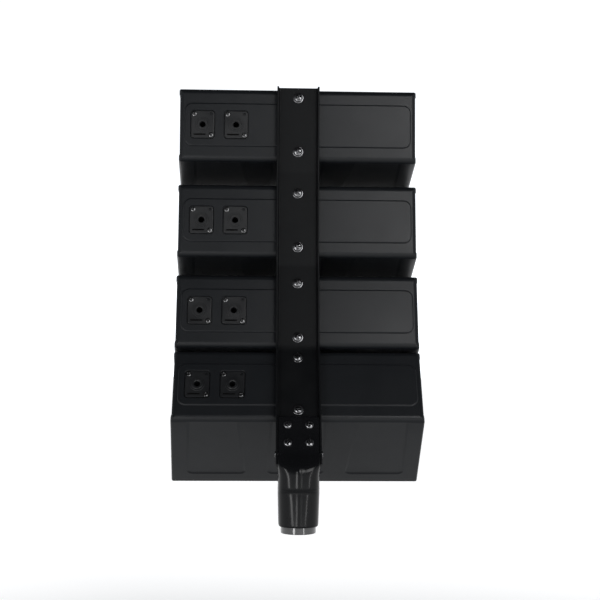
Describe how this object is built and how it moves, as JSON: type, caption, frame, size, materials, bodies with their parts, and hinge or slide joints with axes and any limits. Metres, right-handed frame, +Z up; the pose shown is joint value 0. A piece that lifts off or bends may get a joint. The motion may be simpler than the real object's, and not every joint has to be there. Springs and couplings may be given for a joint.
{
  "type": "line array speaker",
  "caption": "Curved column of wedge-shaped two-way speaker modules on a bent spine rail, with a cast bracket and clamp screw for a 35 mm pole.",
  "frame": {"origin": "centre of the pole socket's mouth, on the pole's axis", "axes": "+Z up along the pole, -Y the way the sound leaves, +X to the listener's left"},
  "size_m": [0.2858, 0.2494, 0.5045],
  "materials": {
    "cabinet_moulding": "satin black moulding with a fine leather-like grain",
    "baffle_moulding": "matt black moulding",
    "rail_paint": "satin black powder coat on bent steel",
    "grille_paint": "satin black powder coat on perforated steel",
    "bracket_gloss": "high-gloss black coat on a casting",
    "sleeve_plastic": "gloss black liner",
    "black_screw": "black oxide steel",
    "plain_steel": "zinc plated steel",
    "insert_brass": "turned brass",
    "basket_paint": "black stamped basket",
    "magnet_ferrite": "ferrite ring between steel plates",
    "surround_rubber": "matt rubber roll",
    "cone_pulp": "black fibre pulp",
    "horn_plastic": "satin black waveguide",
    "motor_steel": "steel motor",
    "circuit_board": "green board with parts",
    "jack_plastic": "black panel jack",
    "knob_plastic": "matt black lobed knob",
    "damping_wool": "grey polyester wool"
  },
  "bodies": {
    "array_frame": {"spine_rail": "rail_paint", "rail_screws": "black_screw", "rail_inserts": "insert_brass", "pole_bracket": "bracket_gloss", "bracket_screws": "black_screw", "bracket_nuts": "plain_steel", "bracket_side_screws": "black_screw", "socket_sleeve": "sleeve_plastic", "baffle_screws": "black_screw", "damping_pads": "damping_wool", "cabinet_1": "cabinet_moulding", "baffle_1": "baffle_moulding", "grille_1": "grille_paint", "woofer_baskets_1": "basket_paint", "woofer_magnets_1": "magnet_ferrite", "woofer_suspension_1": "surround_rubber", "tweeter_horn_1": "horn_plastic", "tweeter_motor_1": "motor_steel", "crossover_1": "circuit_board", "jack_sockets_1": "jack_plastic", "jack_screws_1": "black_screw", "cabinet_2": "cabinet_moulding", "baffle_2": "baffle_moulding", "grille_2": "grille_paint", "woofer_baskets_2": "basket_paint", "woofer_magnets_2": "magnet_ferrite", "woofer_suspension_2": "surround_rubber", "tweeter_horn_2": "horn_plastic", "tweeter_motor_2": "motor_steel", "crossover_2": "circuit_board", "jack_sockets_2": "jack_plastic", "jack_screws_2": "black_screw", "cabinet_3": "cabinet_moulding", "baffle_3": "baffle_moulding", "grille_3": "grille_paint", "woofer_baskets_3": "basket_paint", "woofer_magnets_3": "magnet_ferrite", "woofer_suspension_3": "surround_rubber", "tweeter_horn_3": "horn_plastic", "tweeter_motor_3": "motor_steel", "crossover_3": "circuit_board", "jack_sockets_3": "jack_plastic", "jack_screws_3": "black_screw", "cabinet_4": "cabinet_moulding", "baffle_4": "baffle_moulding", "grille_4": "grille_paint", "woofer_baskets_4": "basket_paint", "woofer_magnets_4": "magnet_ferrite", "woofer_suspension_4": "surround_rubber", "tweeter_horn_4": "horn_plastic", "tweeter_motor_4": "motor_steel", "crossover_4": "circuit_board", "jack_sockets_4": "jack_plastic", "jack_screws_4": "black_screw"},
    "cones_1": {"woofer_cones_1": "cone_pulp"},
    "cones_2": {"woofer_cones_2": "cone_pulp"},
    "cones_3": {"woofer_cones_3": "cone_pulp"},
    "cones_4": {"woofer_cones_4": "cone_pulp"},
    "pad": {"clamp_pad": "insert_brass"},
    "knob": {"clamp_knob": "knob_plastic"}
  },
  "joints": [
    {"name": "cones_1_travel", "type": "slide", "parent": "array_frame", "child": "cones_1", "axis": [0, -1, 0], "range_m": [-0.003, 0.003], "stiffness_N_per_m": 1000},
    {"name": "cones_2_travel", "type": "slide", "parent": "array_frame", "child": "cones_2", "axis": [0, -0.9962, -0.0872], "range_m": [-0.003, 0.003], "stiffness_N_per_m": 1000},
    {"name": "cones_3_travel", "type": "slide", "parent": "array_frame", "child": "cones_3", "axis": [0, -0.9781, -0.2079], "range_m": [-0.003, 0.003], "stiffness_N_per_m": 1000},
    {"name": "cones_4_travel", "type": "slide", "parent": "array_frame", "child": "cones_4", "axis": [0, -0.8949, -0.4462], "range_m": [-0.003, 0.003], "stiffness_N_per_m": 1000},
    {"name": "pad_slide", "type": "slide", "parent": "array_frame", "child": "pad", "axis": [0, 1, 0], "range_m": [0, 0.003]},
    {"name": "knob_turn", "type": "hinge", "parent": "pad", "child": "knob", "pos_m": [0, -0.04, 0.028], "axis": [0, 1, 0], "range_deg": [0, 720]}
  ],
  "couplings": [
    {"joint": "knob_turn", "follows": "pad_slide", "rad_per_m": 4188.8}
  ]
}
